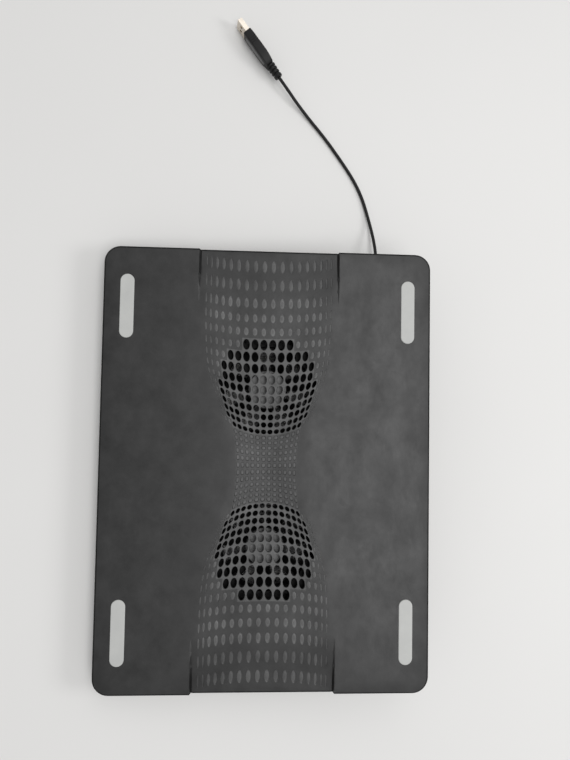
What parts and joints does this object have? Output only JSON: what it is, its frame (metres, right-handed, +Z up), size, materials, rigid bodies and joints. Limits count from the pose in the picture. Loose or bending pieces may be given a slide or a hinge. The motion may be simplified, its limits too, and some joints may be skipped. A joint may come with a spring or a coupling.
{
  "type": "laptop cooling pad",
  "caption": "Tilted laptop cooling pad: perforated deck with an hourglass air channel over twin fans, on an arched base with a soft skin, grip strips and a short USB power cord.",
  "frame": {"origin": "under the middle of the pad, on the surface it stands on; the cord and plug lie outside it on the -X side", "axes": "+X along the long side, to the user's right; +Y from the user's low edge to the raised rear edge; +Z up"},
  "size_m": [0.6114, 0.2862, 0.0609],
  "materials": {
    "deck_plastic": "fine sandblast texture, charcoal",
    "base_plastic": "fine texture, black",
    "neoprene": "knit-faced foam sheet, black",
    "grip_rubber": "matt grey silicone",
    "fan_plastic": "semi-gloss black",
    "rotor_plastic": "semi-gloss black",
    "label_film": "satin light grey film",
    "sleeve_bronze": "sintered, oiled",
    "motor_steel": "rolled silicon steel",
    "magnet_rubber": "ferrite-filled",
    "winding_copper": "enamelled copper wire",
    "board": "green solder mask",
    "shaft_steel": "ground",
    "screw_steel": "black-zinc plated",
    "cord_jacket": "satin black",
    "plug_plastic": "satin black moulding",
    "plug_metal": "nickel plated",
    "tongue_plastic": "cream",
    "contact_metal": "gold plated"
  },
  "bodies": {
    "pad": {"base_shell": "base_plastic", "bearing_left": "sleeve_bronze", "bearing_right": "sleeve_bronze", "coils_left": "winding_copper", "coils_right": "winding_copper", "cord_relief": "plug_plastic", "cover_screws": "screw_steel", "fan_frame_left": "fan_plastic", "fan_frame_right": "fan_plastic", "fan_lead_left": "cord_jacket", "fan_lead_right": "cord_jacket", "fan_screws_left": "screw_steel", "fan_screws_right": "screw_steel", "grip_strip_front_left": "grip_rubber", "grip_strip_front_right": "grip_rubber", "grip_strip_rear_left": "grip_rubber", "grip_strip_rear_right": "grip_rubber", "hub_label_left": "label_film", "hub_label_right": "label_film", "lap_skin": "neoprene", "motor_board_left": "board", "motor_board_right": "board", "power_cord": "cord_jacket", "splice_sleeve": "cord_jacket", "stator_core_left": "motor_steel", "stator_core_right": "motor_steel", "top_cover": "deck_plastic", "usb_contacts": "contact_metal", "usb_plug_body": "plug_plastic", "usb_shell": "plug_metal", "usb_tongue": "tongue_plastic"},
    "left_rotor": {"impeller_left": "rotor_plastic", "rotor_yoke_left": "motor_steel", "rotor_magnet_left": "magnet_rubber", "shaft_left": "shaft_steel"},
    "right_rotor": {"impeller_right": "rotor_plastic", "rotor_yoke_right": "motor_steel", "rotor_magnet_right": "magnet_rubber", "shaft_right": "shaft_steel"}
  },
  "joints": [
    {"name": "left_fan_spin", "type": "hinge", "parent": "pad", "child": "left_rotor", "pos_m": [-0.069, 0.00163, 0.02643], "axis": [0, -0.1305, 0.9914], "continuous": true},
    {"name": "right_fan_spin", "type": "hinge", "parent": "pad", "child": "right_rotor", "pos_m": [0.069, 0.00163, 0.02643], "axis": [0, -0.1305, 0.9914], "continuous": true}
  ]
}
